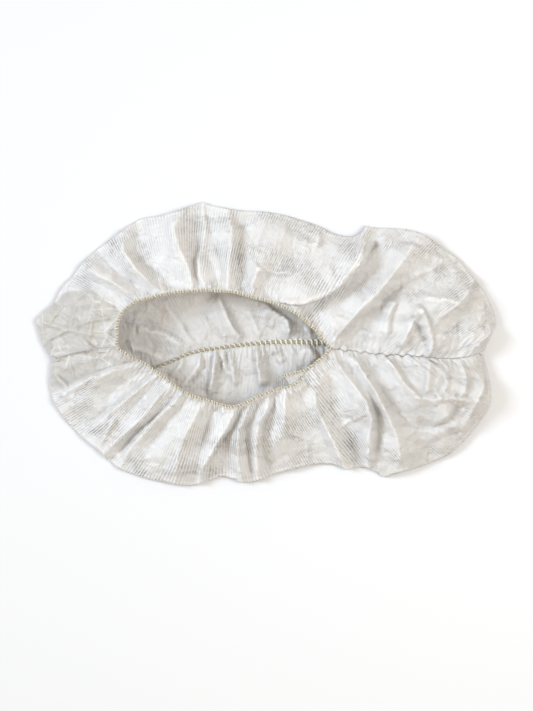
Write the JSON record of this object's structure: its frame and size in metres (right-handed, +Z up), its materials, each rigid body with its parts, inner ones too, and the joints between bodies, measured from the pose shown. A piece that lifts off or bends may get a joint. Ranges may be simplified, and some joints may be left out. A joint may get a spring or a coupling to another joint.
{
  "type": "shoe cover",
  "caption": "Soft shoe cover of ribbed white film cloth with an elastic mouth and seamed sole; it slips over a shoe to keep floors and the shoe clean",
  "frame": {"origin": "on the surface the cover lies on, under the middle of its outline", "axes": "+X from the heel to the toe, +Y to the wearer's left, +Z up out of the mouth"},
  "size_m": [0.3745, 0.2276, 0.0409],
  "materials": {
    "cover_cloth": "thin white film-backed cloth with fine raised ribs, crisp creases and a faint sheen",
    "elastic": "pale olive-yellow elastic under white overlock thread",
    "seam_thread": "white overlock thread over a yellowish elastic core"
  },
  "bodies": {
    "root": {"left_panel": "cover_cloth", "right_panel": "cover_cloth", "mouth_elastic": "elastic", "sole_seam": "seam_thread", "instep_seam": "seam_thread", "heel_seam": "seam_thread"}
  },
  "joints": []
}
